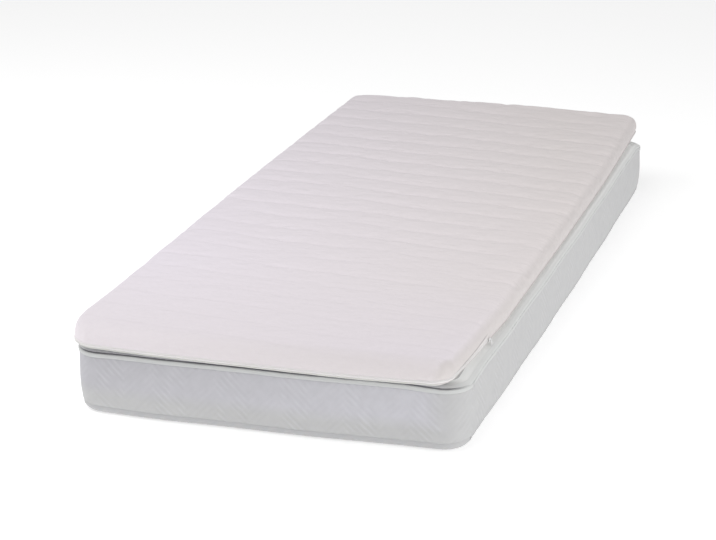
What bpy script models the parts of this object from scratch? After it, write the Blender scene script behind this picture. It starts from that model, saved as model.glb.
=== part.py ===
"""A ribbed mattress topper lying on a plain single mattress, as solids in metres with +Z up.

X runs across the width, Y along the length. The origin is on the floor under the middle of the whole
object, and the near end, where the zip of the topper's cover runs, faces -Y. Both pads are lofts:
rings of one rounded outline that step inwards and upwards along a table of the edge's shape.
"""
import math

import bmesh
import bpy
import numpy as np

OBJECT_NAME = "mattress_topper"
TOUCHING_GAP = 0.0003                   # between pieces that touch
MATTRESS_CENTRE = (0.0031, -0.0032)     # off the origin, because the topper lies askew on it

# The mattress: a standard single size.
MATTRESS_WIDTH = 0.900
MATTRESS_LENGTH = 2.000
MATTRESS_HEIGHT = 0.158
MATTRESS_CORNER = 0.060                 # plan radius
MATTRESS_BOW = 0.008                    # how far the middle of each wall stands out
MATTRESS_WAVE = 0.0015                  # soft unevenness of the walls
MATTRESS_WAVE_LENGTH = 0.37

# Edge of the mattress, from its underside up: inset from the outline, height above the floor.
MATTRESS_EDGE = (
    (0.024, 0.000),
    (0.014, 0.003),
    (0.008, 0.010),                     # lower tape's seat
    (0.008, 0.020),
    (0.003, 0.038),
    (0.000, 0.060),
    (0.000, 0.100),
    (0.001, 0.139),                     # upper tape's seat
    (0.001, 0.150),
    (0.004, 0.1535),
    (0.009, 0.1560),
    (0.017, 0.1574),
    (0.030, MATTRESS_HEIGHT),
)
TAPE_THICKNESS = 0.0018
TAPE_HEIGHT = 0.0092
LOWER_TAPE_Z = 0.015
UPPER_TAPE_Z = 0.1445
LOWER_SEAT_INSET = 0.008
UPPER_SEAT_INSET = 0.001

# The foam's soft corners: side, end, and how far the top edge sinks there.
MATTRESS_SAGS = (
    (1, 1, 0.016),
    (1, -1, 0.005),
    (-1, -1, 0.004),
    (-1, 1, 0.004),
)
SAG_REACH = 0.16                        # distance from the corner at which it ends
SAG_HEIGHTS = (0.050, 0.130)            # part of the wall that takes it up
MATTRESS_NEAR_END = (                   # place across, distance outwards
    (-0.45, 0.003),
    (-0.36, 0.006),
    (-0.22, 0.008),
    (0.00, 0.005),
    (0.25, 0.003),
    (0.45, 0.000),
)

# The topper: a little narrower than the mattress, a little longer, and laid slightly askew.
TOPPER_WIDTH = 0.882
TOPPER_LENGTH = 2.060
TOPPER_CORNER = 0.045                   # plan radius
TOPPER_BOW = 0.009
TOPPER_TURN = -0.0079                   # radians about +Z
TOPPER_SHIFT_X = -0.0025
TOPPER_CROWN = 0.004                    # rise of the middle above the shoulders

# How the soft cover leaves its straight outline: place along the side or end, distance outwards.
SIDE_PLUS_X = (
    (-1.03, -0.010),                    # drawn in where the zip turns the near corner
    (-0.95, -0.006),
    (-0.85, 0.000),
    (-0.70, 0.003),
    (-0.62, 0.006),
    (-0.45, 0.003),
    (0.00, 0.000),
    (0.50, -0.004),
    (0.85, -0.012),
    (1.03, -0.016),
)
SIDE_MINUS_X = (
    (-1.03, -0.018),
    (-0.99, -0.004),
    (-0.95, 0.010),
    (-0.90, 0.014),
    (-0.84, 0.011),
    (-0.75, 0.007),
    (-0.60, 0.003),
    (0.00, 0.001),
    (1.03, -0.003),
)
NEAR_END = (
    (-0.44, 0.000),
    (-0.25, 0.005),
    (0.00, 0.006),
    (0.22, 0.009),
    (0.35, 0.004),
    (0.44, 0.000),
)
FAR_END = (
    (-0.44, 0.004),
    (-0.25, 0.016),
    (-0.10, 0.012),
    (0.10, 0.007),
    (0.25, -0.002),
    (0.44, -0.006),
)
END_REACH = 0.55                        # share of the half length over which the ends' come in

# Edge of the topper, from its underside up: inset from the outline, height above the underside.
TOPPER_EDGE = (
    (0.0220, 0.0000),
    (0.0100, 0.0012),
    (0.0030, 0.0040),
    (0.0010, 0.0075),                   # lower lip
    (0.0035, 0.0105),                   # groove that holds the zip
    (0.0035, 0.0175),
    (0.0000, 0.0220),                   # upper lip
    (0.0005, 0.0300),
    (0.0040, 0.0400),
    (0.0120, 0.0480),
    (0.0280, 0.0522),
    (TOPPER_CORNER, 0.0530),
)
GROOVE_INSET = 0.0035
GROOVE_HEIGHT = 0.0140                  # middle of the groove above the underside

# Sewn ribs across the topper.
RIB_PITCH = 0.090
RIB_DEPTH = 0.0024
RIB_SHARPNESS = 1.6                     # above 1 the valleys are narrower than the crests
RIB_TILT = 0.10                         # the ribs run towards the near end as they cross to +X
RIB_WAVE = 0.004
RIB_WAVE_ACROSS = 0.46
RIB_WAVE_ALONG = 0.90
RIB_ROW_PHASES = (0.0, 0.2, 0.5, 0.8)   # mesh rows: valley, flank, crest, flank
RIB_FADE = (0.004, 0.040)               # insets between which the ribs and the crown come in
SLANT_FADE = 0.22                       # length near each end over which the mesh rows turn square

# Zip of the topper's cover.
ZIP_TAPE_THICKNESS = 0.0020
ZIP_TAPE_HEIGHT = 0.0064
ZIP_REACH = 0.345                       # how far the zip runs up each long side from the near end
SLIDER_SIZE = (0.0048, 0.0095, 0.0080)  # outwards, along the side, up
PULL_SIZE = (0.0014, 0.0056, 0.0160)
SLIDER_BEVEL = 0.0010
PULL_BEVEL = 0.0004

# Mesh steps.
CORNER_STEPS = 6
MATTRESS_SIDE_STEPS = 18
MATTRESS_END_STEPS = 10
TOPPER_END_STEPS = 14
SMOOTH_ANGLE = math.radians(50)
WELD_DISTANCE = 1e-6


def clear_scene():
    for old in list(bpy.data.objects):
        bpy.data.objects.remove(old, do_unlink=True)


def new_collection(name):
    collection = bpy.data.collections.new(name)
    bpy.context.scene.collection.children.link(collection)
    return collection


def linear_rgba(hex_colour):
    """Linear RGBA from an sRGB hex string."""
    channels = [int(hex_colour[i:i + 2], 16) / 255 for i in (0, 2, 4)]
    linear = [c / 12.92 if c <= 0.04045 else ((c + 0.055) / 1.055) ** 2.4 for c in channels]
    return (*linear, 1.0)


def make_material(name, hex_colour, roughness, metallic=0.0):
    material = bpy.data.materials.new(name)
    material.use_nodes = True
    shader = material.node_tree.nodes["Principled BSDF"]
    shader.inputs["Base Color"].default_value = linear_rgba(hex_colour)
    shader.inputs["Roughness"].default_value = roughness
    shader.inputs["Metallic"].default_value = metallic
    material.diffuse_color = linear_rgba(hex_colour)
    return material


def smoothstep(low, high, value):
    t = np.clip((value - low) / (high - low), 0.0, 1.0)
    return t * t * (3.0 - 2.0 * t)


def perimeter(core_x, core_y, side_marks, end_marks):
    """Anchors on the core rectangle and the outward direction at each, once round.

    The walk is anticlockwise from the near end of the +X side. A point of the outline lies at its
    anchor plus its direction times the corner radius, so that a smaller radius gives a ring further in.
    """
    arc = np.arange(1, CORNER_STEPS) / CORNER_STEPS * (math.pi / 2)
    anchors = []
    directions = []

    def add_straight(points, direction):
        for point in points:
            anchors.append(point)
            directions.append(direction)

    def add_corner(anchor, start):
        for angle in start + arc:
            anchors.append(anchor)
            directions.append((math.cos(angle), math.sin(angle)))

    add_straight([(core_x, y) for y in side_marks], (1.0, 0.0))
    add_corner((core_x, core_y), 0.0)
    add_straight([(x, core_y) for x in end_marks[::-1]], (0.0, 1.0))
    add_corner((-core_x, core_y), math.pi / 2)
    add_straight([(-core_x, y) for y in side_marks[::-1]], (-1.0, 0.0))
    add_corner((-core_x, -core_y), math.pi)
    add_straight([(x, -core_y) for x in end_marks], (0.0, -1.0))
    add_corner((core_x, -core_y), math.pi * 1.5)
    return np.array(anchors), np.array(directions)


def bowed(x, y, half_width, half_length, bow):
    """Each wall stands out by the bow at its middle and by nothing at its corners."""
    out_x = bow * (1.0 - (y / half_length) ** 2) * x * np.abs(x) / half_width ** 2
    out_y = bow * (1.0 - (x / half_width) ** 2) * y * np.abs(y) / half_length ** 2
    return x + out_x, y + out_y


def read_table(table, place):
    """A two-column table read at any place along its first column."""
    places, amounts = zip(*table)
    return np.interp(place, places, amounts)


def add_ring(mesh, points):
    return [mesh.verts.new(point) for point in points]


def join_rings(mesh, lower, upper):
    """A band of four-sided faces between two anticlockwise rings, facing outwards."""
    count = len(lower)
    for i in range(count):
        j = (i + 1) % count
        mesh.faces.new((lower[i], lower[j], upper[j], upper[i]))


def finish_mesh(mesh, name, material, collection):
    bmesh.ops.remove_doubles(mesh, verts=mesh.verts, dist=WELD_DISTANCE)
    bmesh.ops.recalc_face_normals(mesh, faces=mesh.faces)
    data = bpy.data.meshes.new(name)
    mesh.to_mesh(data)
    mesh.free()
    data.shade_smooth()
    data.set_sharp_from_angle(angle=SMOOTH_ANGLE)
    data.materials.append(material)
    piece = bpy.data.objects.new(name, data)
    collection.objects.link(piece)
    return piece


# ---------------------------------------------------------------- mattress

def mattress_perimeter():
    core_x = MATTRESS_WIDTH / 2 - MATTRESS_CORNER
    core_y = MATTRESS_LENGTH / 2 - MATTRESS_CORNER
    side_marks = np.linspace(-core_y, core_y, MATTRESS_SIDE_STEPS + 1)
    end_marks = np.linspace(-core_x, core_x, MATTRESS_END_STEPS + 1)
    return perimeter(core_x, core_y, side_marks, end_marks)


def mattress_sag(x, y, height):
    """How far the top of the wall has sunk at this place, nothing away from the corners."""
    sag = np.zeros(len(x))
    for side, end, depth in MATTRESS_SAGS:
        away = np.hypot(x - side * MATTRESS_WIDTH / 2, y - end * MATTRESS_LENGTH / 2)
        sag = sag + depth * smoothstep(SAG_REACH, MATTRESS_CORNER * 0.4, away)
    return sag * smoothstep(*SAG_HEIGHTS, height)


def mattress_ring(inset, height):
    """The mattress's outline at an inset, bowed and softly uneven, at one height."""
    anchors, directions = mattress_perimeter()
    plan = anchors + directions * (MATTRESS_CORNER - inset)
    x, y = plan[:, 0], plan[:, 1]
    half_width, half_length = MATTRESS_WIDTH / 2, MATTRESS_LENGTH / 2
    turn = 2 * math.pi / MATTRESS_WAVE_LENGTH
    side = directions[:, 0] * MATTRESS_WAVE * np.sin(turn * anchors[:, 1]) * np.cos(0.7 * turn * x)
    end = directions[:, 1] * MATTRESS_WAVE * np.sin(turn * anchors[:, 0])
    near = read_table(MATTRESS_NEAR_END, x) * smoothstep(0.6, 1.0, -y / half_length)
    z = height - mattress_sag(x, y, height)
    x, y = bowed(x, y, half_width, half_length, MATTRESS_BOW)
    centre_x, centre_y = MATTRESS_CENTRE
    return np.column_stack((x + side + centre_x, y + end - near + centre_y, z))


def build_mattress_body(collection):
    mesh = bmesh.new()
    rings = [add_ring(mesh, mattress_ring(inset, height)) for inset, height in MATTRESS_EDGE]
    for lower, upper in zip(rings[:-1], rings[1:]):
        join_rings(mesh, lower, upper)
    mesh.faces.new(rings[0][::-1])
    mesh.faces.new(rings[-1])
    material = make_material("woven_ticking", "C6C8CB", 0.85)
    return finish_mesh(mesh, "mattress_body", material, collection)


def build_band(name, points, closed, thickness, height, material, collection):
    """A flat tape on edge: a line of points thickened sideways and drawn up and down."""
    curve = bpy.data.curves.new(name, "CURVE")
    curve.dimensions = "3D"
    curve.twist_mode = "Z_UP"
    curve.fill_mode = "FULL"
    curve.bevel_depth = thickness / 2
    curve.bevel_resolution = 0
    curve.extrude = (height - thickness) / 2
    curve.use_fill_caps = not closed
    line = curve.splines.new("POLY")
    line.points.add(len(points) - 1)
    for target, point in zip(line.points, points):
        target.co = (*point, 1.0)
    line.use_cyclic_u = closed
    curve.materials.append(material)
    piece = bpy.data.objects.new(name, curve)
    collection.objects.link(piece)
    return piece


def build_mattress_tapes(collection):
    material = make_material("edge_tape", "D9DDDA", 0.80)
    middle = TOUCHING_GAP + TAPE_THICKNESS / 2
    seats = (
        ("mattress_lower_tape", LOWER_SEAT_INSET, LOWER_TAPE_Z),
        ("mattress_upper_tape", UPPER_SEAT_INSET, UPPER_TAPE_Z),
    )
    for name, seat_inset, height in seats:
        points = mattress_ring(seat_inset - middle, height)
        build_band(name, points, True, TAPE_THICKNESS, TAPE_HEIGHT, material, collection)


# ---------------------------------------------------------------- topper

def rib_offset(x, y):
    """How far a rib line lies towards the near end at this place: its slant and its gentle wave."""
    wave = np.sin(2 * math.pi * (x / RIB_WAVE_ACROSS + y / RIB_WAVE_ALONG))
    return RIB_TILT * x + RIB_WAVE * wave


def rib_relief(x, y):
    """Zero along the crests and minus the rib depth in the narrow sewn valleys, once every pitch."""
    phase = (y + rib_offset(x, y)) / RIB_PITCH
    return -RIB_DEPTH * (1.0 - np.abs(np.sin(math.pi * phase))) ** RIB_SHARPNESS


def rib_rows(core_y):
    """Mesh rows along the length at the valley, flank, crest and flank of every rib."""
    first = math.floor(-core_y / RIB_PITCH)
    last = math.ceil(core_y / RIB_PITCH)
    rows = [(k + phase) * RIB_PITCH for k in range(first, last) for phase in RIB_ROW_PHASES]
    margin = RIB_PITCH / 10
    return np.array([-core_y, *[y for y in rows if abs(y) < core_y - margin], core_y])


def topper_plan(x, y):
    """From the pad's straight plan to its place: slanted rows, bowed and uneven outline, turned."""
    half_width, half_length = TOPPER_WIDTH / 2, TOPPER_LENGTH / 2
    core_y = half_length - TOPPER_CORNER
    square_end = smoothstep(core_y, core_y - SLANT_FADE, np.abs(y))
    slanted_y = y - rib_offset(x, y) * square_end
    across = x / half_width
    sideways = np.where(x > 0, read_table(SIDE_PLUS_X, slanted_y), -read_table(SIDE_MINUS_X, slanted_y))
    along = slanted_y / half_length
    endways = read_table(FAR_END, x) * smoothstep(1.0 - END_REACH, 1.0, along)
    endways = endways - read_table(NEAR_END, x) * smoothstep(1.0 - END_REACH, 1.0, -along)
    bow_x, bow_y = bowed(x, slanted_y, half_width, half_length, TOPPER_BOW)
    bow_x = bow_x + sideways * across ** 2
    bow_y = bow_y + endways
    cosine, sine = math.cos(TOPPER_TURN), math.sin(TOPPER_TURN)
    placed_x = bow_x * cosine - bow_y * sine + TOPPER_SHIFT_X + MATTRESS_CENTRE[0]
    placed_y = bow_x * sine + bow_y * cosine + MATTRESS_CENTRE[1]
    return placed_x, placed_y, slanted_y


def topper_points(x, y, inset, height):
    """Points of the pad: the edge table's height plus the crown and the ribs, which fade at the rim."""
    half_width, half_length = TOPPER_WIDTH / 2, TOPPER_LENGTH / 2
    placed_x, placed_y, slanted_y = topper_plan(x, y)
    crown = TOPPER_CROWN * (1.0 - (x / half_width) ** 2) * (1.0 - (y / half_length) ** 4)
    on_top = smoothstep(*RIB_FADE, inset) * (height > GROOVE_HEIGHT)
    z = MATTRESS_HEIGHT + TOUCHING_GAP + height + (crown + rib_relief(x, slanted_y)) * on_top
    return np.column_stack((placed_x, placed_y, z))


def topper_core():
    core_x = TOPPER_WIDTH / 2 - TOPPER_CORNER
    core_y = TOPPER_LENGTH / 2 - TOPPER_CORNER
    return core_x, core_y, rib_rows(core_y), np.linspace(-core_x, core_x, TOPPER_END_STEPS + 1)


def topper_ring(inset, height):
    anchors, directions = perimeter(*topper_core())
    plan = anchors + directions * (TOPPER_CORNER - inset)
    return topper_points(plan[:, 0], plan[:, 1], inset, height)


def build_topper_pad(collection):
    """Rings up the edge, then a grid of rib rows over the middle, and one flat face underneath."""
    mesh = bmesh.new()
    rings = [add_ring(mesh, topper_ring(inset, height)) for inset, height in TOPPER_EDGE]
    for lower, upper in zip(rings[:-1], rings[1:]):
        join_rings(mesh, lower, upper)
    mesh.faces.new(rings[0][::-1])
    bmesh.ops.remove_doubles(mesh, verts=mesh.verts, dist=WELD_DISTANCE)

    side_marks, end_marks = topper_core()[2:]
    middle_inset, middle_height = TOPPER_EDGE[-1]
    rows = []
    for y in side_marks:
        points = topper_points(end_marks, np.full(len(end_marks), y), middle_inset, middle_height)
        rows.append([mesh.verts.new(point) for point in points])
    for near, far in zip(rows[:-1], rows[1:]):
        for i in range(len(end_marks) - 1):
            mesh.faces.new((near[i], near[i + 1], far[i + 1], far[i]))
    material = make_material("quilted_knit", "E6E0E2", 0.90)
    return finish_mesh(mesh, "topper_pad", material, collection)


def zip_line():
    """The zip's middle line, from the +X side round the near end to the -X side."""
    anchors, directions = perimeter(*topper_core())
    inset = GROOVE_INSET - TOUCHING_GAP - ZIP_TAPE_THICKNESS / 2
    points = topper_ring(inset, GROOVE_HEIGHT)
    limit = -TOPPER_LENGTH / 2 + ZIP_REACH
    plan = anchors + directions * TOPPER_CORNER
    near = plan[:, 1] < limit
    first_left = int(np.argmax(near & (plan[:, 0] < 0)))
    last_right = int(np.argmax(~near)) - 1
    return np.vstack((points[first_left:], points[:last_right + 1]))


def build_zip(collection):
    """The tape in the groove, and its slider and hanging pull at the end on the +X side."""
    points = zip_line()
    tape = make_material("zip_tape", "F2EEEE", 0.70)
    build_band("topper_zip_tape", points, False, ZIP_TAPE_THICKNESS, ZIP_TAPE_HEIGHT, tape, collection)

    end, before = points[-1], points[-2]
    along = (end - before) / np.linalg.norm(end - before)
    outwards = np.array((along[1], -along[0], 0.0))
    heading = math.atan2(outwards[1], outwards[0])
    metal = make_material("lacquered_zinc", "F4F4F4", 0.35, metallic=0.3)
    slider_middle = end + outwards * (ZIP_TAPE_THICKNESS / 2 + TOUCHING_GAP + SLIDER_SIZE[0] / 2)
    pull_middle = slider_middle + outwards * (SLIDER_SIZE[0] / 2 + TOUCHING_GAP + PULL_SIZE[0] / 2)
    pull_middle = pull_middle - np.array((0.0, 0.0, PULL_SIZE[2] / 2 - SLIDER_SIZE[2] / 4))
    blocks = (
        ("topper_zip_slider", SLIDER_SIZE, slider_middle, SLIDER_BEVEL),
        ("topper_zip_pull", PULL_SIZE, pull_middle, PULL_BEVEL),
    )
    for name, size, middle, bevel in blocks:
        bpy.ops.mesh.primitive_cube_add(size=1.0)
        block = bpy.context.object
        block.name = name
        block.data.name = name
        block.scale = size
        bpy.ops.object.transform_apply(location=False, rotation=False, scale=True)
        block.location = middle
        block.rotation_euler = (0.0, 0.0, heading)
        rounding = block.modifiers.new("rounding", "BEVEL")
        rounding.width = bevel
        rounding.segments = 2
        block.data.materials.append(metal)
        for holder in list(block.users_collection):
            holder.objects.unlink(block)
        collection.objects.link(block)


def main():
    clear_scene()
    collection = new_collection(OBJECT_NAME)
    build_mattress_body(collection)
    build_mattress_tapes(collection)
    build_topper_pad(collection)
    build_zip(collection)


main()
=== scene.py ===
"""A ribbed mattress topper lying on a plain single mattress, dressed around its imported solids.

Metres, +Z up, X across the width, Y along the length. The near end, where the zip of the topper's
cover runs, faces -Y. The sizes of the two pads are the solids' own, so that each finer surface lies on
its solid, apart from the rows whose comments say how they differ.
"""
import functools
import math

import bpy
import bmesh
import numpy as np
from mathutils import Matrix, Vector


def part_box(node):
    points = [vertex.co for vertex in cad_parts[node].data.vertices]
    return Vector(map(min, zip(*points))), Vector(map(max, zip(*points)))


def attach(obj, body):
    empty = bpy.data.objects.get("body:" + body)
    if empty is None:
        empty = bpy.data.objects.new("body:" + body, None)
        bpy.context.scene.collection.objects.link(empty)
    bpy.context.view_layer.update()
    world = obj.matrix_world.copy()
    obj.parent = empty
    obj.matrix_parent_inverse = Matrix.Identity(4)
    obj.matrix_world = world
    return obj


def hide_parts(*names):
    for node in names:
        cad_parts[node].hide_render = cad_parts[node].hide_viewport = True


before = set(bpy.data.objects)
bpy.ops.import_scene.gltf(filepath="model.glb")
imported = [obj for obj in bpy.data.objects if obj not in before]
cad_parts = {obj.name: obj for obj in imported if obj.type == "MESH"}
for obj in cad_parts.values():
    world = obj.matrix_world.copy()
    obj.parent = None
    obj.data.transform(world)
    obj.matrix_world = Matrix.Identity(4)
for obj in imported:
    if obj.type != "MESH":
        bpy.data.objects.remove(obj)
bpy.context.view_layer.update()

# ---------------- sizes

TOUCHING_GAP = 0.0003                   # between pieces that touch
MATTRESS_CENTRE = (0.0031, -0.0032)     # off the origin, because the topper lies askew on it

MATTRESS_WIDTH = 0.900
MATTRESS_LENGTH = 2.000
MATTRESS_HEIGHT = 0.158
MATTRESS_CORNER = 0.060                 # plan radius
MATTRESS_BOW = 0.008                    # how far the middle of each wall stands out
MATTRESS_WAVE = 0.0015                  # soft unevenness of the walls
MATTRESS_WAVE_LENGTH = 0.37
MATTRESS_EDGE = (                       # inset from the outline, height above the floor
    (0.024, 0.000),
    (0.014, 0.003),
    (0.008, 0.010),
    (0.008, 0.0172),
    (0.0063, 0.0188),                   # the soft wall bulges flush with the lower tape
    (0.0022, 0.036),
    (0.000, 0.060),
    (0.000, 0.100),
    (0.001, 0.139),
    (0.001, 0.1490),
    (-0.0006, 0.1502),                  # and flush with the upper one above it
    (0.0004, 0.1524),
    (0.0033, 0.1545),
    (0.0078, 0.1571),                   # up to here the shoulder stands fuller than the solid's
    (0.0160, 0.1581),
    (0.030, MATTRESS_HEIGHT),
)
MATTRESS_SAGS = (                       # place across and along, how far the foam's corner sinks there
    (0.42, 1.01, 0.020),                # deeper than the solid's, and a little round the corner
    (0.45, -1.00, 0.005),
    (-0.45, -1.00, 0.004),
    (-0.45, 1.00, 0.004),
)
SAG_REACH = 0.16                        # distance from the corner at which it ends
SAG_HEIGHTS = (0.050, 0.130)            # part of the wall that takes it up
MATTRESS_NEAR_END = (                   # place across, distance outwards
    (-0.45, 0.003), (-0.36, 0.006), (-0.22, 0.008),
    (0.00, 0.005), (0.25, 0.003), (0.45, 0.000),
)
TAPE_THICKNESS = 0.0018
TAPE_HEIGHT = 0.0092
LOWER_TAPE = (0.008, 0.015)             # seat's inset, height of the tape's middle
UPPER_TAPE = (0.001, 0.1445)

TOPPER_WIDTH = 0.882
TOPPER_LENGTH = 2.060
TOPPER_CORNER = 0.045                   # plan radius
TOPPER_HALF = (TOPPER_WIDTH / 2, TOPPER_LENGTH / 2)
TOPPER_CORE = (TOPPER_HALF[0] - TOPPER_CORNER, TOPPER_HALF[1] - TOPPER_CORNER)      # arcs' centres
TOPPER_BOW = 0.009
TOPPER_TURN = -0.0079                   # radians about +Z
TOPPER_SHIFT_X = -0.0025
TOPPER_CROWN = 0.004                    # rise of the middle above the shoulders
SIDE_PLUS_X = (                         # place along the side, distance outwards
    (-1.03, -0.010), (-0.95, -0.006), (-0.85, 0.000), (-0.70, 0.003), (-0.62, 0.006),
    (-0.45, 0.003), (0.00, 0.000), (0.50, -0.004), (0.85, -0.012), (1.03, -0.016),
)
SIDE_MINUS_X = (
    (-1.03, -0.018), (-0.99, -0.004), (-0.95, 0.010), (-0.90, 0.014), (-0.84, 0.011),
    (-0.75, 0.007), (-0.60, 0.003), (0.00, 0.001), (1.03, -0.003),
)
NEAR_END = (
    (-0.44, 0.000), (-0.25, 0.005), (0.00, 0.006),
    (0.22, 0.009), (0.35, 0.004), (0.44, 0.000),
)
FAR_END = (
    (-0.44, 0.004), (-0.25, 0.016), (-0.10, 0.012),
    (0.10, 0.007), (0.25, -0.002), (0.44, -0.006),
)
END_REACH = 0.55                        # share of the half length over which the ends' come in
TOPPER_EDGE = (                         # inset from the outline, height above the underside
    (0.0220, 0.0000),
    (0.0100, 0.0012),
    (0.0030, 0.0040),
    (0.0010, 0.0075),
    (0.0035, 0.0105),
    (0.0022, 0.0178),                   # softer than the solid's: the knit bridges the groove's corner
    (0.0000, 0.0220),
    (0.0005, 0.0300),
    (0.0040, 0.0400),
    (0.0120, 0.0480),
    (0.0280, 0.0522),
    (TOPPER_CORNER, 0.0530),
)
GROOVE_INSET = 0.0035
GROOVE_HEIGHT = 0.0140                  # middle of the groove above the underside
RIB_PITCH = 0.090
RIB_DEPTH = 0.0024
RIB_SHARPNESS = 1.6                     # above 1 the valleys are narrower than the crests
RIB_TILT = 0.10                         # the ribs run towards the near end as they cross to +X
RIB_WAVE = 0.004
RIB_WAVE_ACROSS = 0.46
RIB_WAVE_ALONG = 0.90
SLANT_FADE = 0.22                       # length near each end over which the mesh rows turn square

SLIDER_SIZE = (0.0048, 0.0095, 0.0080)  # outwards, along the side, up
PULL_SIZE = (0.0014, 0.0056, 0.0160)
ZIP_TAPE_HEIGHT = 0.0064
ZIP_END = float(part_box("topper_zip_slider")[0].y)       # the slider's side towards the near end

# Finer forms: the ribs come nearer to the rim than on the solid, which leaves out the others.
RIB_FADE = (0.004, 0.022)               # the ribs and the crown come in between these insets
RIB_WANDER = 0.0045                     # a sewn line strays this far from its gentle wave
CREASE_DEPTH = 0.0009                   # a fainter line half way between two sewn ones
UNEVENNESS = (                          # height, length across, how much shorter it is lengthwise, seed
    (0.00060, 0.260, 1.0, 0.4),
    (0.00080, 0.120, 2.6, 5.1),
    (0.00065, 0.055, 1.9, 1.7),
)
LIP_LIFT = (                            # height in the edge table, how far the lip lies above it
    (0.0000, 0.0000),
    (0.0012, 0.0036),
    (0.0040, 0.0046),
    (0.0075, 0.0022),
    (0.0105, 0.0000),
)
BORDER_HEIGHT = 0.0115                  # the plain knit reaches this far up from the topper's underside

# The darkness column is painted shade, drawn into the ticking's colour along each groove.
SEAM_DIPS = (                           # sewn grooves beside the tapes: height, half width, depth, darkness
    (0.1513, 0.0011, 0.0038, 0.80),     # shows at the near end only, as painted shadow under the overhang
    (0.1389, 0.0010, 0.0006, 0.06),
    (0.0206, 0.0010, 0.0000, 0.04),
)
OVERHANG_REACH = (0.470, 0.410)         # from the near end's middle: the groove's end, its fade's start
PUCKER_PITCH = 0.018                    # gathers of the ticking beside a tape
PUCKER_DEPTH = 0.00055
PUCKER_LEAN = 0.012                     # a pucker slants by one pitch over this height
PUCKER_SPREAD = 3.6                     # how much wider than its seam's dip the gathered strip is

ZIP_WEB = 0.0011                        # thickness of the woven tape beside the teeth
ZIP_RIDGE = 0.0016                      # thickness of the tape where it carries the teeth
ZIP_TEETH_PITCH = 0.0026
ZIP_TEETH_FOOT = 0.0014                 # the teeth are set this far out, a little into the ridge
ZIP_TOOTH = (0.0008, 0.0014, 0.0030)    # outwards, along, up
BRIDGE_WIRE = 0.0006                    # radius of the slider's bridge, in which the pull hangs
BRIDGE_RISE = 0.0012
BRIDGE_REACH = 0.0030
BRIDGE_FOOT = 0.0004                    # how deep its ends are set into the body
PULL_BEVEL = 0.0003

SWELL_FRAMES = 20
SWELL_PRESSURE = 4.0
SWELL_FULLNESS = 0.012                  # how much larger the knit is than the foam under it
SWELL_CAP = 0.0022

# Steps of the finer surfaces.
RIB_ROW_PHASES = (0.0, 0.06, 0.16, 0.30, 0.50, 0.70, 0.84, 0.94)
CORNER_STEPS = 16
MATTRESS_STEP = 0.0045
TOPPER_COLUMN_STEP = 0.0113
TAPE_STEP = 0.006
WELD_DISTANCE = 1e-6


# ---------------- grids and walks

def smoothstep(low, high, value):
    t = np.clip((value - low) / (high - low), 0.0, 1.0)
    return t * t * (3.0 - 2.0 * t)


def wave(place, length):
    """A sine that repeats every length."""
    return np.sin(2 * math.pi * place / length)


def soft_power(value, power):
    """A sine or cosine raised to a power below one with its sign kept, which squares a round form."""
    return np.sign(value) * np.abs(value) ** power


def read_table(table, place):
    """A two-column table read at any place along its first column, in straight lines."""
    places, amounts = zip(*table)
    return np.interp(place, places, amounts)


def refine(table, steps):
    """A smooth curve through a table's rows, each gap cut into equal steps.

    Between two rows the curve is the cubic that passes through both with the slopes that join their
    neighbours, each slope scaled by its gap, so that long and short gaps meet without a bulge.
    """
    rows = np.array(table, float)
    gaps = np.linalg.norm(np.diff(rows, axis=0), axis=1)
    slopes = np.diff(rows, axis=0) / gaps[:, None]
    inner = (slopes[:-1] * gaps[1:, None] + slopes[1:] * gaps[:-1, None]) / (gaps[:-1] + gaps[1:])[:, None]
    tangents = np.vstack((slopes[:1], inner, slopes[-1:]))
    t = (np.arange(steps) / steps)[None, :, None]
    start, end = rows[:-1, None], rows[1:, None]
    leave, reach = tangents[:-1, None] * gaps[:, None, None], tangents[1:, None] * gaps[:, None, None]
    curve = (start * (2 * t**3 - 3 * t**2 + 1) + leave * (t**3 - 2 * t**2 + t)
             + end * (3 * t**2 - 2 * t**3) + reach * (t**3 - t**2))
    return np.vstack((curve.reshape(-1, 2), rows[-1:]))


def walk(core_x, core_y, side_marks, end_marks):
    """Anchors on the core rectangle and the outward direction at each, once round and closed.

    Anticlockwise from the near end of the +X side: a straight, a quarter turn, and so on. A point of the
    outline lies at its anchor plus its direction times the corner radius less the inset.
    """
    arc = np.arange(1, CORNER_STEPS) / CORNER_STEPS * (math.pi / 2)

    def straight(x, y, direction):
        x, y = np.broadcast_arrays(x, y)
        return np.column_stack((x, y)), np.tile(direction, (len(x), 1))

    def corner(x, y, start):
        turns = np.column_stack((np.cos(start + arc), np.sin(start + arc)))
        return np.tile((x, y), (len(arc), 1)), turns

    parts = (
        straight(core_x, side_marks, (1.0, 0.0)),
        corner(core_x, core_y, 0.0),
        straight(end_marks[::-1], core_y, (0.0, 1.0)),
        corner(-core_x, core_y, math.pi / 2),
        straight(-core_x, side_marks[::-1], (-1.0, 0.0)),
        corner(-core_x, -core_y, math.pi),
        straight(end_marks, -core_y, (0.0, -1.0)),
        corner(core_x, -core_y, math.pi * 1.5),
    )
    anchors, directions = (np.concatenate(column) for column in zip(*parts))
    return np.vstack((anchors, anchors[:1])), np.vstack((directions, directions[:1]))


def marks(half, step):
    return np.linspace(-half, half, 2 * max(1, round(half / step)) + 1)


def lengths_along(points):
    """Distance walked from the first point to each point of a line, in metres."""
    return np.concatenate(([0.0], np.cumsum(np.linalg.norm(np.diff(points, axis=0), axis=1))))


def bowed(x, y, half_width, half_length, bow):
    """Each wall stands out by the bow at its middle and by nothing at its corners."""
    out_x = bow * (1.0 - (y / half_length) ** 2) * x * np.abs(x) / half_width ** 2
    out_y = bow * (1.0 - (x / half_width) ** 2) * y * np.abs(y) / half_length ** 2
    return x + out_x, y + out_y


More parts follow.
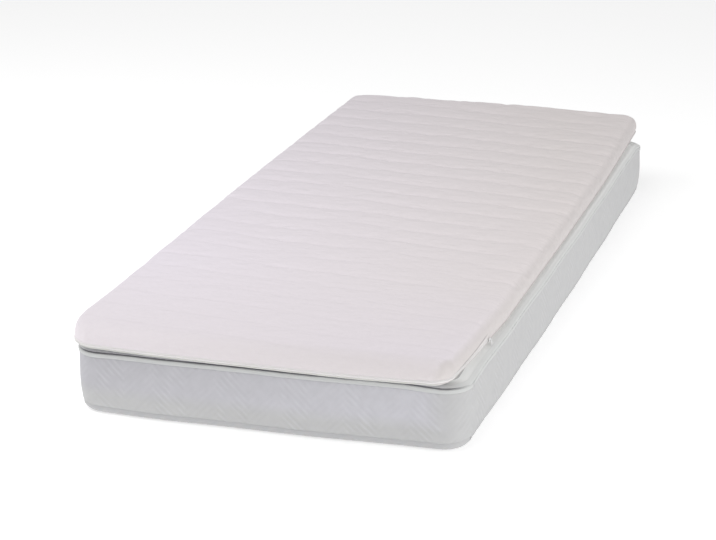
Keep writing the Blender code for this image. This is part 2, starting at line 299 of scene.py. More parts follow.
def surface(name, grids, material):
    """One closed mesh from grids. Each is points (rows, columns, 3), its UVs, and how firmly it is held.

    Each cell of a grid is one four-sided face, and equal points of neighbouring grids are merged.
    """
    points, uvs, held, faces, start = [], [], [], [], 0
    for grid, uv, hold in grids:
        rows, columns = grid.shape[:2]
        index = start + np.arange(rows * columns).reshape(rows, columns)
        cells = np.stack((index[:-1, :-1], index[:-1, 1:], index[1:, 1:], index[1:, :-1]), axis=-1)
        points.append(grid.reshape(-1, 3))
        uvs.append(uv.reshape(-1, 2))
        held.append(np.broadcast_to(hold, (rows, columns)).ravel())
        faces.append(cells.reshape(-1, 4))
        start += rows * columns
    points, uvs, held, faces = (np.concatenate(parts) for parts in (points, uvs, held, faces))
    mesh = bpy.data.meshes.new(name)
    mesh.vertices.add(len(points))
    mesh.vertices.foreach_set("co", points.astype(np.float32).ravel())
    mesh.loops.add(faces.size)
    mesh.loops.foreach_set("vertex_index", faces.astype(np.int32).ravel())
    mesh.polygons.add(len(faces))
    mesh.polygons.foreach_set("loop_start", np.arange(0, faces.size, 4, dtype=np.int32))
    mesh.update(calc_edges=True)
    layer = mesh.uv_layers.new(name="walked_metres")
    layer.data.foreach_set("uv", uvs[faces.ravel()].astype(np.float32).ravel())
    mesh.attributes.new("held", "FLOAT", "POINT").data.foreach_set("value", held.astype(np.float32))
    work = bmesh.new()
    work.from_mesh(mesh)
    bmesh.ops.remove_doubles(work, verts=work.verts, dist=WELD_DISTANCE)
    bmesh.ops.dissolve_degenerate(work, dist=WELD_DISTANCE, edges=work.edges)
    bmesh.ops.recalc_face_normals(work, faces=work.faces)
    work.to_mesh(mesh)
    work.free()
    mesh.shade_smooth()
    mesh.materials.append(material)
    piece = in_scene(name, mesh)
    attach(piece, "root")
    return piece


def in_scene(name, data):
    """A new object of the scene for a mesh, a light or a camera."""
    thing = bpy.data.objects.new(name, data)
    bpy.context.scene.collection.objects.link(thing)
    return thing


def plain(*forms, hold=0.0):
    """Grids whose pattern isn't seen. Their UVs keep clear of the heights where the seams are drawn."""
    return [(form, form[..., :2] - 10.0, hold) for form in forms]


def carried_profile(path, outward, profile):
    """A closed profile carried along a path. A profile point is its distance outwards and upwards."""
    out, up = profile[:, 0], profile[:, 1]
    grid = path[None] + outward[None] * out[:, None, None]
    grid[..., 2] += up[:, None]
    return grid


def mirrored(lower_half):
    """A closed profile from its lower half: the same points again, upside down and in reverse."""
    upper_half = [(out, -up) for out, up in reversed(lower_half)]
    return np.array([*lower_half, *upper_half, lower_half[0]])


# ---------------- materials

def linear_rgba(hex_colour):
    """Linear RGBA from an sRGB hex string."""
    channels = [int(hex_colour[i:i + 2], 16) / 255 for i in (0, 2, 4)]
    linear = [c / 12.92 if c <= 0.04045 else ((c + 0.055) / 1.055) ** 2.4 for c in channels]
    return (*linear, 1.0)


def add_node(tree, kind, sockets, output=0, **settings):
    """Adds a shader node with its settings, and returns the asked output, ready to be linked on.

    Each socket, by number or name, is given a value, a hex colour or another node's output. A Map Range
    takes its value at 0, the ends of its range at 1 and 2 and what it gives there at 3 and 4. A Mix of
    colours takes its factor at 0 and its colours at 6 and 7.
    """
    node = tree.nodes.new("ShaderNode" + kind)
    for name, value in settings.items():
        setattr(node, name, value)
    for key, value in sockets.items():
        if isinstance(value, bpy.types.NodeSocket):
            tree.links.new(value, node.inputs[key])
        else:
            node.inputs[key].default_value = linear_rgba(value) if isinstance(value, str) else value
    return node.outputs[output]


def new_material(name, sockets):
    """A new material with its shader's sockets set, and the function that adds its nodes."""
    material = bpy.data.materials.new(name)
    material.use_nodes = True
    shader = material.node_tree.nodes["Principled BSDF"]
    for socket, value in {"Specular IOR Level": 0.3, "Sheen Roughness": 0.5, **sockets}.items():
        shader.inputs[socket].default_value = value
    return material, functools.partial(add_node, material.node_tree)


def finished(material, shade, relief=None):
    """The material with its colour, and its relief if it has one, linked to its shader."""
    inputs = material.node_tree.nodes["Principled BSDF"].inputs
    material.node_tree.links.new(shade, inputs["Base Color"])
    if relief is not None:
        material.node_tree.links.new(relief, inputs["Normal"])
    return material


def bands(pitch):
    """Scale of a Wave texture whose bands repeat every pitch, in metres. One band is 2 pi / 20."""
    return 2 * math.pi / (20.0 * pitch)


def quilted_knit():
    """Double-jersey polyester knit over foam: matt, slightly pink white, cooler at the near left corner.

    The border under the zip is of a plainer, whiter knit, which shows as a pale edge under the pad. Above
    the zip on its right side runs a painted shadow line over a painted highlight band, which rises from the
    corner towards the slider. The rims are greyer, because they turn from the light: painted shade. The rib
    valleys, the near end and the lower lip are also painted a little darker, as painted shade.
    """
    loop_pitch = 0.004                  # 3 mm in life, drawn a little coarser so that it shows
    fleck_size, crease_size = 0.012, 0.045
    border_top = MATTRESS_HEIGHT + BORDER_HEIGHT
    # where the lower lip's painted shade starts, and where it is full
    hem = (MATTRESS_HEIGHT + 0.0108, MATTRESS_HEIGHT + 0.0085)      # where it starts, and is full
    # the painted shadow line: its slope, its height at the middle of the side, its half width
    shadow_line_slope, shadow_line_height, shadow_line_half_width = 0.058, MATTRESS_HEIGHT + 0.0730, 0.0018

    material, add = new_material("double_jersey_knit", {"Roughness": 0.92, "Sheen Weight": 0.12})
    place = add("TexCoord", {}, "Object")
    uv = add("UVMap", {}, uv_map="walked_metres")
    across, along, upward = (add("SeparateXYZ", {0: place}, axis) for axis in "XYZ")
    plan_x, phase = (add("SeparateXYZ", {0: uv}, axis) for axis in "XY")

    warmth = add("Math", {0: across, 1: 1.0, 2: 0.55}, operation="MULTIPLY_ADD")
    warmth = add("Math", {0: along, 1: 0.25, 2: warmth}, operation="MULTIPLY_ADD", use_clamp=True)
    # Painted shade: the near end of the top is drawn a little darker.
    near_end_painted_shade = add("MapRange", {0: along, 1: -0.55, 2: -1.00})
    fleck = add("TexNoise", {"Vector": place, "Scale": 1 / fleck_size, "Detail": 3.0})
    flecked = add("Math", {0: fleck, 1: 0.09}, operation="MULTIPLY")
    # Painted shade in the narrow rib valleys.
    from_valley = add("Math", {0: phase, 1: 0.5}, operation="PINGPONG")
    valley = add("Math", {0: from_valley, 1: -12.0, 2: 1.0}, operation="MULTIPLY_ADD", use_clamp=True)
    sunk = add("Math", {0: valley, 1: 0.05}, operation="MULTIPLY")
    # Painted shade: this near rim and the right rim below are greyer, as they turn from the light.
    near_rim = add("MapRange", {0: along, 1: -0.99, 2: -1.04})
    rightward = add("MapRange", {0: across, 1: -0.30, 2: 0.44, 3: 0.15, 4: 0.55})
    near_rim = add("Math", {0: near_rim, 1: rightward}, operation="MULTIPLY")
    border = add("Math", {0: upward, 1: border_top}, operation="LESS_THAN")
    # Painted shade on the lower lip.
    lower_lip_painted_shade = add("MapRange", {0: upward, 1: hem[0], 2: hem[1]})
    past_corner = add("MapRange", {0: along, 1: -0.98, 2: -1.06, 4: 0.03})
    right_rim = add("Math", {0: plan_x, 1: past_corner})
    right_rim = add("MapRange", {0: right_rim, 1: 0.422, 2: 0.4415}, interpolation_type="SMOOTHSTEP")

    # A painted shadow line over a painted highlight band, on the right side from the near corner to the
    # slider.
    shadow_line_edge = add("Math", {0: along, 1: shadow_line_slope, 2: shadow_line_height}, operation="MULTIPLY_ADD")
    above_shadow_line = add("Math", {0: upward, 1: shadow_line_edge}, operation="SUBTRACT")
    on_right = add("MapRange", {0: across, 1: 0.38, 2: 0.42})
    zipped = add("MapRange", {0: along, 1: ZIP_END + 0.005, 2: ZIP_END - 0.030})
    zipped = add("Math", {0: zipped, 1: on_right}, operation="MULTIPLY")
    # the painted highlight band under the line
    below = add("MapRange", {0: above_shadow_line, 1: -0.0014, 2: -0.0040, 4: 0.28})
    below = add("Math", {0: below, 1: zipped}, operation="MULTIPLY")
    # the painted shadow line
    line = add("Math", {0: above_shadow_line, 1: 0.0, 2: shadow_line_half_width}, operation="COMPARE")
    line = add("Math", {0: line, 1: zipped}, operation="MULTIPLY")
    line = add("Math", {0: line, 1: 0.5}, operation="MULTIPLY")

    shade = "F2EBF3"
    for mask, colour in (
        (warmth, "EEE7E6"), (near_end_painted_shade, "EEE7EC"), (flecked, "B4ADB2"), (sunk, "BDB5BA"),
        (near_rim, "D8D2CF"), (border, "EBECE7"), (lower_lip_painted_shade, "D2D2CE"), (right_rim, "D8D2D1"),
        (below, "F8F8F6"), (line, "8E888A"),
    ):
        shade = add("Mix", {0: mask, 6: shade, 7: colour}, 2, data_type="RGBA")

    turned = add("Mapping", {"Vector": place, "Rotation": (0.0, 0.0, math.pi / 4)})
    courses, wales = (
        add("TexWave", {"Vector": turned, "Scale": bands(loop_pitch)}, "Fac", bands_direction=axis)
        for axis in "XY")
    loops = add("Math", {0: courses, 1: wales}, operation="MULTIPLY")
    stretched = add("Mapping", {"Vector": place, "Scale": (1.0, 2.2, 1.0)})
    creases = add("TexNoise", {"Vector": stretched, "Scale": 1 / crease_size, "Detail": 2.0})
    relief = add("Bump", {"Height": creases, "Strength": 0.9, "Distance": 0.004})
    for height, strength, depth in ((fleck, 0.5, 0.0012), (loops, 0.35, 0.0003)):
        relief = add("Bump", {"Height": height, "Strength": strength, "Distance": depth, "Normal": relief})
    return finished(material, shade, relief)


def herringbone_ticking():
    """Woven polyester mattress ticking: matt light grey, with faint groups of slanted raised strokes.

    Strokes are 12.5 mm apart and run down to the right at 45 degrees, in groups 145 mm apart. Between
    the groups they run the other way and are fainter. Outside the overhang the shoulder is painted paler
    in three steps, because it faces up: painted light, which also lifts the topper's shadow on it. The
    walls are painted darker towards the near end and the near wall towards its left, and the sewn grooves
    darker, as painted shade.
    """
    stroke_pitch = 0.0177               # walked along the wall, where a slanted pitch is longer
    group_pitch, group_middle = 0.145, 0.075
    group_edge = (0.024, 0.044)         # from a group's middle: where its strokes start to fade, and end
    thread_pitch = 0.0024               # 0.6 mm in life, drawn coarser so that it shows
    break_size, mottle_size = 0.030, 0.022
    groove_end, fade_start = OVERHANG_REACH

    material, add = new_material("woven_ticking_cloth", {"Roughness": 0.88, "Sheen Weight": 0.08})
    place = add("TexCoord", {}, "Object")
    uv = add("UVMap", {}, uv_map="walked_metres")
    walked, height = (add("SeparateXYZ", {0: uv}, axis) for axis in "XY")
    across, along = (add("SeparateXYZ", {0: place}, axis) for axis in "XY")

    broken = add("TexNoise", {"Vector": place, "Scale": 1 / break_size, "Detail": 2.0})
    broken = add("MapRange", {0: broken, 1: 0.40, 2: 0.62, 3: 0.05, 4: 1.0})
    from_group = add("Math", {0: walked, 1: group_middle}, operation="SUBTRACT")
    from_group = add("Math", {0: from_group, 1: group_pitch / 2}, operation="PINGPONG")
    inside = add("MapRange", {0: from_group, 1: group_edge[0], 2: group_edge[1], 3: 1.0, 4: 0.0},
                 interpolation_type="SMOOTHSTEP")
    strokes = 0.0
    for slant, group_strength, other_strength in ((1.0, 1.0, 0.0), (-1.0, 0.0, 0.3)):
        line = add("Math", {0: height, 1: slant, 2: walked}, operation="MULTIPLY_ADD")
        line = add("Math", {0: line, 1: 2 * math.pi / stroke_pitch}, operation="MULTIPLY")
        line = add("Math", {0: line}, operation="SINE")
        share = add("MapRange", {0: inside, 3: other_strength, 4: group_strength})
        line = add("Math", {0: line, 1: share}, operation="MULTIPLY")
        strokes = add("Math", {0: line, 1: broken, 2: strokes}, operation="MULTIPLY_ADD")

    low = add("MapRange", {0: height, 1: 0.045, 2: 0.075, 3: 1.0, 4: 0.0})
    right = add("MapRange", {0: across, 1: 0.36, 2: 0.42})
    warm = add("Math", {0: low, 1: right}, operation="MAXIMUM")
    rightward = add("MapRange", {0: across, 1: -0.42, 2: 0.28})
    farther = add("MapRange", {0: along, 1: -0.90, 2: 0.20})
    # The first two pairs are painted shade: the near wall darker towards its left, the walls darker towards
    # the near end. The last two are painted light on the shoulder, paler farther along.
    shades = (
        (rightward, "C1C0C5", "CDCCD2"),
        (farther, "C4C4C4", "CACACA"),
        (farther, "DCDDDC", "E8E9E8"),
        (farther, "DEDFDE", "FCFDFC"),
    )
    cool_shade, plain_shade, edge_shade, top_shade = (
        add("Mix", {0: mask, 6: start, 7: end}, 2, data_type="RGBA") for mask, start, end in shades)
    raised = add("Math", {0: strokes, 1: 0.22, 2: 0.08}, operation="MULTIPLY_ADD", use_clamp=True)
    mottle = add("TexNoise", {"Vector": place, "Scale": 1 / mottle_size, "Detail": 3.0})
    mottle = add("MapRange", {0: mottle, 1: 0.35, 2: 0.75, 3: 0.0, 4: 0.14})
    layers = [(warm, plain_shade), (raised, "DCDCE0"), (mottle, "A2A2A6")]

    from_middle = add("Math", {0: walked}, operation="ABSOLUTE")
    overhung = add("MapRange", {0: from_middle, 1: fade_start, 2: groove_end, 3: 1.0, 4: 0.0})
    outside = add("Math", {0: 1.0, 1: overhung}, operation="SUBTRACT")
    # Painted light: outside the overhang the shoulder is painted paler in three steps, which lifts the
    # topper's shadow on it.
    paler = ((0.1485, 0.1496, edge_shade), (0.1540, 0.1572, top_shade), (0.1573, 0.1580, "FAFBFA"))
    for start, end, colour in paler:
        shoulder = add("MapRange", {0: height, 1: start, 2: end})
        shoulder = add("Math", {0: shoulder, 1: outside}, operation="MULTIPLY")
        layers.append((shoulder, colour))
    # Painted shade along the sewn grooves; the first is the overhang's painted shadow, at the near end only.
    for seam, (middle, half_width, _, darkness) in enumerate(SEAM_DIPS):
        groove = add("Math", {0: height, 1: middle, 2: half_width * 1.2}, operation="COMPARE")
        groove = add("Math", {0: groove, 1: darkness}, operation="MULTIPLY")
        if seam == 0:
            groove = add("Math", {0: groove, 1: overhung}, operation="MULTIPLY")
        layers.append((groove, "5E5E62"))
    shade = cool_shade
    for mask, colour in layers:
        shade = add("Mix", {0: mask, 6: shade, 7: colour}, 2, data_type="RGBA")

    warp, weft = (
        add("TexWave", {"Vector": uv, "Scale": bands(thread_pitch)}, "Fac", bands_direction=axis)
        for axis in "XY")
    threads = add("Math", {0: warp, 1: weft}, operation="MULTIPLY")
    figure = add("Bump", {"Height": strokes, "Strength": 0.3, "Distance": 0.0006})
    weave = add("Bump", {"Height": threads, "Strength": 0.3, "Distance": 0.0002, "Normal": figure})
    return finished(material, shade, weave)


def sewn_tape(name, colour, side_colour, far_colour, dark, thread_pitch):
    """Woven polyester tape: matt, with fine cross ribs, and a little darker in soft patches.

    Its colour at the near end, at the near corner of a side and along the far half are given; these
    differ as painted light and shade. Threads are 0.5 mm apart in life, and are drawn as far apart as
    they need to show.
    """
    patch_size = 0.045
    material, add = new_material(name, {"Roughness": 0.80, "Sheen Weight": 0.10})
    place = add("TexCoord", {}, "Object")
    uv = add("UVMap", {}, uv_map="walked_metres")
    along = add("SeparateXYZ", {0: place}, "Y")
    side = add("MapRange", {0: along, 1: -1.005, 2: -0.985})
    far = add("MapRange", {0: along, 1: -0.80, 2: 0.30})
    patches = add("TexNoise", {"Vector": place, "Scale": 1 / patch_size, "Detail": 2.0})
    patches = add("Math", {0: patches, 1: 0.5}, operation="MULTIPLY")
    shade = colour
    # the side and far colours are painted light and shade; the patches are the tape's own tone
    for mask, other in ((side, side_colour), (far, far_colour), (patches, dark)):
        shade = add("Mix", {0: mask, 6: shade, 7: other}, 2, data_type="RGBA")
    ribs = add("TexWave", {"Vector": uv, "Scale": bands(thread_pitch)}, "Fac", bands_direction="X")
    cross = add("Bump", {"Height": ribs, "Strength": 0.4, "Distance": 0.0003})
    return finished(material, shade, cross)


def moulded_teeth():
    """Nylon coil of the zip: satin white plastic, a little brighter than its tape."""
    cloud_size = 0.02
    material, add = new_material("nylon_zip_teeth", {"Roughness": 0.38})
    place = add("TexCoord", {}, "Object")
    cloud = add("TexNoise", {"Vector": place, "Scale": 1 / cloud_size})
    shade = add("Mix", {0: cloud, 6: "F6F4F3", 7: "E9E6E6"}, 2, data_type="RGBA")
    return finished(material, shade)


def lacquered_zinc():
    """Die-cast zinc under white stove lacquer: satin, with soft unevenness from the casting."""
    grain_size = 0.0012
    material, add = new_material("lacquered_zinc_casting", {
        "Roughness": 0.30, "Metallic": 0.15, "Coat Weight": 0.4, "Coat Roughness": 0.15})
    place = add("TexCoord", {}, "Object")
    grain = add("TexNoise", {"Vector": place, "Scale": 1 / grain_size, "Detail": 3.0})
    shade = add("Mix", {0: grain, 6: "F7F7F6", 7: "E8E8EA"}, 2, data_type="RGBA")
    casting = add("Bump", {"Height": grain, "Strength": 0.15, "Distance": 0.0001})
    return finished(material, shade, casting)


# ---------------- mattress

def mattress_sag(x, y, height):
    """How far the top of the wall has sunk at this place, nothing away from the corners."""
    sag = np.zeros_like(x)
    for sag_x, sag_y, depth in MATTRESS_SAGS:
        away = np.hypot(x - sag_x, y - sag_y)
        sag = sag + depth * smoothstep(SAG_REACH, MATTRESS_CORNER * 0.4, away)
    return sag * smoothstep(*SAG_HEIGHTS, height)


def mattress_points(anchors, directions, inset, height):
    """The mattress's outline at an inset, bowed, softly uneven and sunk at its corners."""
    plan = anchors + directions * (MATTRESS_CORNER - inset)[..., None]
    x, y = plan[..., 0], plan[..., 1]
    half_width, half_length = MATTRESS_WIDTH / 2, MATTRESS_LENGTH / 2
    side, end = MATTRESS_WAVE * directions[..., 0], MATTRESS_WAVE * directions[..., 1]
    side = side * wave(anchors[..., 1], MATTRESS_WAVE_LENGTH)
    side = side * np.cos(0.7 * 2 * math.pi * x / MATTRESS_WAVE_LENGTH)
    end = end * wave(anchors[..., 0], MATTRESS_WAVE_LENGTH)
    near = read_table(MATTRESS_NEAR_END, x) * smoothstep(0.6, 1.0, -y / half_length)
    z = height - mattress_sag(x, y, height)
    x, y = bowed(x, y, half_width, half_length, MATTRESS_BOW)
    return np.stack((x + side + MATTRESS_CENTRE[0], y + end - near + MATTRESS_CENTRE[1], z), axis=-1)


def mattress_walk(step):
    """The walk round the mattress, and the metres walked, counted from the middle of the near end."""
    core_x, core_y = MATTRESS_WIDTH / 2 - MATTRESS_CORNER, MATTRESS_LENGTH / 2 - MATTRESS_CORNER
    anchors, directions = walk(core_x, core_y, marks(core_y, step), marks(core_x, step))
    walked = lengths_along(anchors + directions * MATTRESS_CORNER)
    near_middle = np.argmin(np.abs(anchors[:, 0]) + 10.0 * (directions[:, 1] > -0.5))
    return anchors, directions, walked - walked[near_middle]


def flat_cover(ring):
    """Rings that shrink from a closed line to its middle, each with half the points of the one before it.

    A ring's dropped points lie on the kept ones, so that the weld joins them and no pole is crowded.
    """
    index = np.arange(len(ring) - 1)
    middle = ring[:-1].mean(axis=0)
    rings = []
    for halvings, share in enumerate((1.0, 0.985, 0.96, 0.91, 0.82, 0.60, 0.0)):
        kept = np.append(index >> halvings << halvings, 0)
        rings.append(middle + (ring[kept] - middle) * share)
    return np.stack(rings)


def seam_inset(walked, height):
    """The wall is drawn in beside each sewn tape, and gathers there in small slanted puckers.

    Each seam is a dip with the shape of a bell across its height. A pucker is a sine along the wall
    whose crests lean with the height. Slower sines shift it and let it swell and fade.
    """
    inset = np.zeros(np.broadcast_shapes(walked.shape, height.shape))
    swell = 0.6 + 0.4 * np.sin(2 * math.pi * walked / 0.213 + 1.1 * wave(walked, 0.57))
    stray = 1.4 * np.sin(19.0 * walked)
    for seam, (middle, half_width, depth, _) in enumerate(SEAM_DIPS):
        away = (height - middle) / half_width
        if seam == 0:
            depth = depth * smoothstep(*OVERHANG_REACH, np.abs(walked))
        pucker = np.sin(2 * math.pi * (walked / PUCKER_PITCH + height / PUCKER_LEAN) + stray)
        inset = inset + depth * np.exp(-away ** 2)
        inset = inset + PUCKER_DEPTH * swell * pucker * np.exp(-(away / PUCKER_SPREAD) ** 2)
    return inset


def build_mattress(material):
    """The edge's profile carried round the outline, with shrinking rings over its top and underside.

    Five more rows lie across each sewn groove, so that it is cut cleanly.
    """
    anchors, directions, walked = mattress_walk(MATTRESS_STEP)
    profile = refine(MATTRESS_EDGE, 3)
    seams = [middle + row * half_width for middle, half_width, _, _ in SEAM_DIPS for row in range(-2, 3)]
    height = np.sort(np.concatenate((profile[:, 1], seams)))[:, None]
    inset = np.interp(height, profile[:, 1], profile[:, 0]) + seam_inset(walked[None], height)
    height = np.broadcast_to(height, inset.shape)
    grid = mattress_points(anchors[None], directions[None], inset, height)
    uv = np.stack(np.broadcast_arrays(walked[None], height), axis=-1)
    grids = [(grid, uv, 0.0), *plain(flat_cover(grid[0]), flat_cover(grid[-1]))]
    cover = surface("mattress_cover", grids, material)
    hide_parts("mattress_body")


def build_tape(name, node, seat, material):
    """A domed tape on edge round the wall, its two sewn edges softly scalloped."""
    seat_inset, middle = seat
    anchors, directions, walked = mattress_walk(TAPE_STEP)
    half = TAPE_HEIGHT / 2
    profile = mirrored((                  # distance outwards from the seat, height from the middle
        (0.0000, -half),
        (0.0011, -half),
        (0.0015, -half * 0.90),
        (TAPE_THICKNESS, -half * 0.45),
    ))
    pucker = 0.00025 * wave(walked, 0.036) + 0.0002 * wave(walked, 0.083)
    out = TOUCHING_GAP + profile[:, :1] + pucker[None] * (profile[:, :1] > 0.001)
    height = middle + profile[:, 1:] * (1.0 + 0.05 * wave(walked, 0.11))[None]
    grid = mattress_points(anchors[None], directions[None], seat_inset - out, height)
    around = lengths_along(profile)
    uv = np.stack(np.broadcast_arrays(walked[None], around[:, None]), axis=-1)
    piece = surface(name, [(grid, uv, 0.0)], material)
    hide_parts(node)


# ---------------- topper

def rib_offset(x, y):
    """How far a rib line lies towards the near end at this place: its slant and its gentle wave."""
    return RIB_TILT * x + RIB_WAVE * wave(x / RIB_WAVE_ACROSS + y / RIB_WAVE_ALONG, 1.0)


def rib_rows(half):
    """Mesh rows along the length, eight to a rib, with one on each sewn valley."""
    first, last = math.floor(-half / RIB_PITCH), math.ceil(half / RIB_PITCH)
    rows = [(k + phase) * RIB_PITCH for k in range(first, last) for phase in RIB_ROW_PHASES]
    return np.array([-half, *[y for y in rows if abs(y) < half - RIB_PITCH / 20], half])


def drift(x, y, size, seed):
    """A smooth unevenness between -1 and 1: sines of two slanted directions, bent by slower sines."""
    u, v = x * 2 * math.pi / size, y * 2 * math.pi / size
    first = np.sin(u + 1.7 * np.sin(0.61 * v + seed) + 2.3 * seed)
    second = np.sin(1.13 * v + 1.9 * np.sin(0.47 * u - seed) + 1.1 * seed)
    third = np.sin(0.71 * (u - v) + 1.3 * np.sin(0.39 * (u + v) + 0.7 * seed))
    return (first * second + 0.6 * third) / 1.6


def topper_plan(x, y):
    """From the pad's straight plan to its place: slanted rows, bowed and uneven outline, turned.

    Also the rib phase, which counts ribs along the length: whole numbers are the sewn valleys.
    """
    half_width, half_length = TOPPER_HALF
    square_end = smoothstep(TOPPER_CORE[1], TOPPER_CORE[1] - SLANT_FADE, np.abs(y))
    phase = (y + rib_offset(x, y) * (1.0 - square_end)) / RIB_PITCH
    slanted_y = y - (rib_offset(x, y) + RIB_WANDER * drift(x, y * 1.7, 0.24, 6.0)) * square_end
    sideways = np.where(x > 0, read_table(SIDE_PLUS_X, slanted_y), -read_table(SIDE_MINUS_X, slanted_y))
    along = slanted_y / half_length
    endways = read_table(FAR_END, x) * smoothstep(1.0 - END_REACH, 1.0, along)
    endways = endways - read_table(NEAR_END, x) * smoothstep(1.0 - END_REACH, 1.0, -along)
    bow_x, bow_y = bowed(x, slanted_y, half_width, half_length, TOPPER_BOW)
    bow_x = bow_x + sideways * (x / half_width) ** 2
    bow_y = bow_y + endways
    cosine, sine = math.cos(TOPPER_TURN), math.sin(TOPPER_TURN)
    placed_x = bow_x * cosine - bow_y * sine + TOPPER_SHIFT_X + MATTRESS_CENTRE[0]
    placed_y = bow_x * sine + bow_y * cosine + MATTRESS_CENTRE[1]
    return placed_x, placed_y, phase


def rib_strength(x, phase):
    """How deep a valley is at this place, from 0.2 to 1.1: uneven along it, and fainter at the near end."""
    uneven = 0.72 + 0.38 * drift(x, np.round(phase) * 0.37, 0.31, 2.0)
    return uneven * (0.45 + 0.55 * smoothstep(-9.5, 1.0, phase))


def topper_points(x, y, inset, height):
    """Points of the pad, and the rib phase at each.

    The height is the edge table's, plus the crown and the ribs, which fade at the rim. A rib's relief is
    nothing on its crest and the rib depth in its narrow valley, and a valley is shallower in places.
    """
    half_width, half_length = TOPPER_HALF
    placed_x, placed_y, phase = topper_plan(x, y)
    relief = -RIB_DEPTH * rib_strength(x, phase) * (1.0 - np.abs(np.sin(math.pi * phase))) ** RIB_SHARPNESS
    between = (1.0 - np.abs(np.sin(math.pi * (phase + 0.5)))) ** (2.0 * RIB_SHARPNESS)
    relief = relief - CREASE_DEPTH * between * np.clip(drift(x, phase * 0.23, 0.27, 3.3) + 0.15, 0.0, 1.0)
    for swell, size, squeeze, seed in UNEVENNESS:
        relief = relief + swell * drift(x, y * squeeze, size, seed)
    crown = TOPPER_CROWN * (1.0 - (x / half_width) ** 2) * (1.0 - (y / half_length) ** 4)
    on_top = smoothstep(*RIB_FADE, inset) * (height > GROOVE_HEIGHT)
    z = MATTRESS_HEIGHT + TOUCHING_GAP + height + (crown + relief) * on_top
    return np.stack((placed_x, placed_y, z), axis=-1), phase


def lip_lift(x, y, height):
    """The soft lower lip curls up off the mattress towards the zip, unevenly, most at the near left."""
    uneven = 1.0 + 0.12 * wave(x + y, 0.083) + 0.08 * wave(x + y, 0.031)
    return read_table(LIP_LIFT, height) * (uneven + 0.15 * smoothstep(-0.20, -0.40, x))


def sewn_hold(x, phase):
    """Up to one on a sewn valley, loose where the valley is faint, and nothing a twentieth of a rib away."""
    firm = smoothstep(0.25, 0.75, rib_strength(x, phase))
    return firm * smoothstep(0.05, 0.015, np.abs(phase - np.round(phase)))


def swell_between_seams(piece):
    """The knit swells between its sewn lines, by a cloth simulation that is applied to the mesh.

    The valleys, the zip's groove and all below it are pinned. A steady pressure lifts the rest, whose
    cloth is a little too large for its seams, so that it gathers. No point moves further than the cap.
    """
    mesh = piece.data
    rest = np.empty(len(mesh.vertices) * 3)
    held = np.empty(len(mesh.vertices))
    mesh.vertices.foreach_get("co", rest)
    mesh.attributes["held"].data.foreach_get("value", held)
    group = piece.vertex_groups.new(name="sewn")
    for level in range(1, 5):
        chosen = np.flatnonzero(np.round(held * 4) == level)
        group.add(chosen.tolist(), level / 4, "REPLACE")
    cloth = piece.modifiers.new("knit_cloth", "CLOTH")
    settings = cloth.settings
    settings.quality = 5
    settings.mass = 0.3
    settings.tension_stiffness = settings.compression_stiffness = 12.0
    settings.shear_stiffness = 4.0
    settings.bending_stiffness = 0.4
    settings.shrink_min = -SWELL_FULLNESS
    settings.use_pressure = True
    settings.uniform_pressure_force = SWELL_PRESSURE
    settings.effector_weights.gravity = 0.0
    settings.vertex_group_mass = group.name
    cloth.collision_settings.use_collision = False
    cloth.point_cache.frame_start, cloth.point_cache.frame_end = 1, SWELL_FRAMES
    for frame_number in range(1, SWELL_FRAMES + 1):
        bpy.context.scene.frame_set(frame_number)
    evaluated = piece.evaluated_get(bpy.context.evaluated_depsgraph_get())
    swollen = np.empty_like(rest)
    evaluated.data.vertices.foreach_get("co", swollen)
    piece.modifiers.remove(cloth)
    piece.vertex_groups.remove(group)
    bpy.context.scene.frame_set(1)
    move = (swollen - rest).reshape(-1, 3)
    length = np.maximum(np.linalg.norm(move, axis=1, keepdims=True), 1e-9)
    move = move * SWELL_CAP * np.tanh(length / SWELL_CAP) / length
    mesh.vertices.foreach_set("co", (rest.reshape(-1, 3) + move).ravel())
    mesh.update()


def build_topper(material):
    """Rings up the edge, a grid of ribs over the middle, and shrinking rings underneath."""
    side_marks, end_marks = rib_rows(TOPPER_CORE[1]), marks(TOPPER_CORE[0], TOPPER_COLUMN_STEP)
    anchors, directions = walk(*TOPPER_CORE, side_marks, end_marks)
    profile = refine(TOPPER_EDGE, 2)
    inset = np.broadcast_to(profile[:, :1], (len(profile), len(anchors)))
    height = np.broadcast_to(profile[:, 1:], inset.shape)
    plan = anchors[None] + directions[None] * (TOPPER_CORNER - inset)[..., None]
    edge, edge_phase = topper_points(plan[..., 0], plan[..., 1], inset, height)
    edge[..., 2] += lip_lift(plan[..., 0], plan[..., 1], height)
    edge_uv = np.stack((plan[..., 0], edge_phase), axis=-1)
    edge_sewn = sewn_hold(plan[..., 0], edge_phase) * (inset > RIB_FADE[1] / 2)
    groove_top = GROOVE_HEIGHT + 0.005
    edge_held = np.maximum(height < groove_top, edge_sewn)

    x, y = np.meshgrid(end_marks, side_marks)
    middle_inset, middle_height = TOPPER_EDGE[-1]
    top, top_phase = topper_points(x, y, np.full_like(x, middle_inset), np.full_like(x, middle_height))
    top_uv = np.stack((x, top_phase), axis=-1)
    top_held = sewn_hold(x, top_phase)
    grids = [(edge, edge_uv, edge_held), (top, top_uv, top_held), *plain(flat_cover(edge[0]), hold=1.0)]
    cover = surface("topper_cover", grids, material)
    swell_between_seams(cover)
    finer = cover.modifiers.new("finer", "SUBSURF")
    finer.levels = finer.render_levels = 1
    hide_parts("topper_pad")


# ---------------- zip

